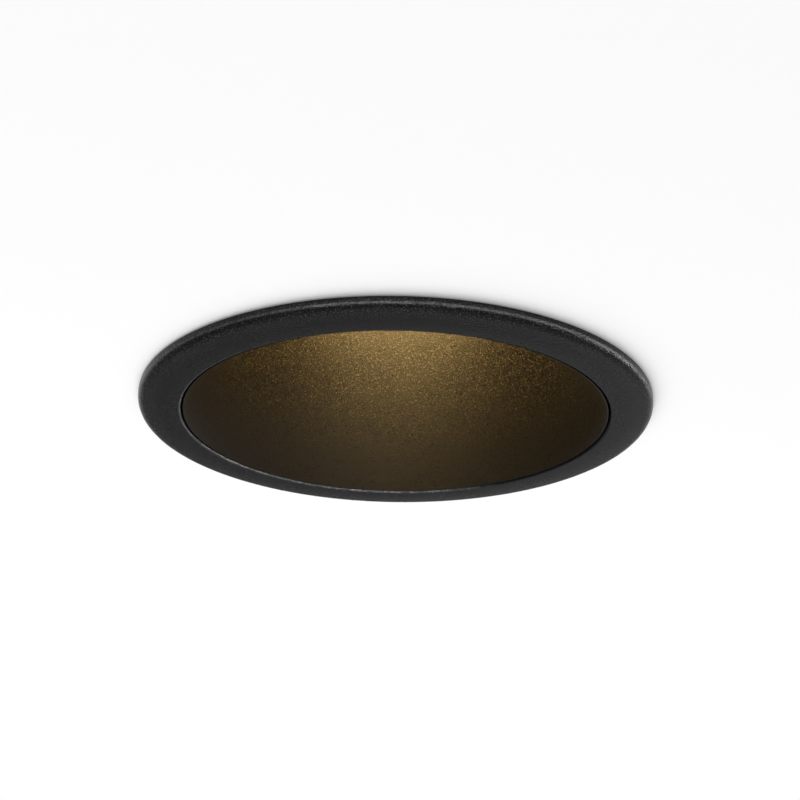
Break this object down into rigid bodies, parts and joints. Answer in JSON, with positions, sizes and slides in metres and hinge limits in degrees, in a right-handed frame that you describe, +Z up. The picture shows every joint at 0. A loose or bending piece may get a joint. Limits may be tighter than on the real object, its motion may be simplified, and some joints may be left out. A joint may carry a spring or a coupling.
{
  "type": "soffit downlight",
  "caption": "Round recessed soffit downlight: black trim ring, deep anti-glare reflector, sealed light engine, finned sink, spring clips.",
  "frame": {"origin": "centre of the plane where the trim's gasket meets the soffit's underside", "axes": "+Z up into the void above the soffit, along the lamp's axis; +X through the two spring clips"},
  "size_m": [0.1636, 0.1, 0.1083],
  "materials": {
    "powder_coat": "fine black powder coat",
    "reflector_black": "satin black",
    "foam": "matt",
    "cast_black": "cast and painted black",
    "sink_black": "anodised black",
    "bright_aluminium": "machined",
    "silicone": "matt",
    "clear_glass": "polished",
    "clear_plastic": "clear",
    "black_plastic": "moulded",
    "white_plastic": "moulded",
    "phosphor": "matt",
    "ceramic": "matt",
    "pad_grey": "matt",
    "stainless": "brushed",
    "spring_steel": "drawn wire",
    "plated_brass": "turned",
    "red_lead": "insulated",
    "black_lead": "insulated",
    "rubber_black": "matt"
  },
  "bodies": {
    "lamp": {"trim_ring": "powder_coat", "flange_gasket": "foam", "reflector": "reflector_black", "trim_screws": "stainless", "housing": "cast_black", "glass_ring": "bright_aluminium", "glass_gasket": "silicone", "cover_glass": "clear_glass", "lens_holder": "black_plastic", "lens": "clear_plastic", "lens_screws": "stainless", "emitter": "phosphor", "emitter_board": "ceramic", "board_holder": "white_plastic", "holder_screws": "stainless", "thermal_pad": "pad_grey", "sink_gasket": "silicone", "heat_sink": "sink_black", "sink_screws": "stainless", "terminal_block": "white_plastic", "terminal_screws": "plated_brass", "lead_positive": "red_lead", "lead_negative": "black_lead", "cap_gasket": "silicone", "rear_cap": "cast_black", "cap_screws": "stainless", "gland_lock_nut": "black_plastic", "gland_washer": "rubber_black", "gland_body": "black_plastic", "gland_seal": "rubber_black", "gland_nut": "black_plastic", "clip_bracket_left": "stainless", "bracket_screws_left": "stainless", "clip_pin_left": "stainless", "torsion_spring_left": "spring_steel", "clip_bracket_right": "stainless", "bracket_screws_right": "stainless", "clip_pin_right": "stainless", "torsion_spring_right": "spring_steel"},
    "clip_left": {"clip_arm_left": "stainless", "clip_pad_left": "rubber_black"},
    "clip_right": {"clip_arm_right": "stainless", "clip_pad_right": "rubber_black"}
  },
  "joints": [
    {"name": "clip_left_hinge", "type": "hinge", "parent": "lamp", "child": "clip_left", "pos_m": [-0.0405, 0, 0.029], "axis": [0, 1, 0], "range_deg": [0, 121], "stiffness_Nm_per_rad": 0.095, "springref_deg": -60.16, "deforming": ["torsion_spring_left"]},
    {"name": "clip_right_hinge", "type": "hinge", "parent": "lamp", "child": "clip_right", "pos_m": [0.0405, 0, 0.029], "axis": [0, -1, 0], "range_deg": [0, 121], "stiffness_Nm_per_rad": 0.095, "springref_deg": -60.16, "deforming": ["torsion_spring_right"]}
  ]
}
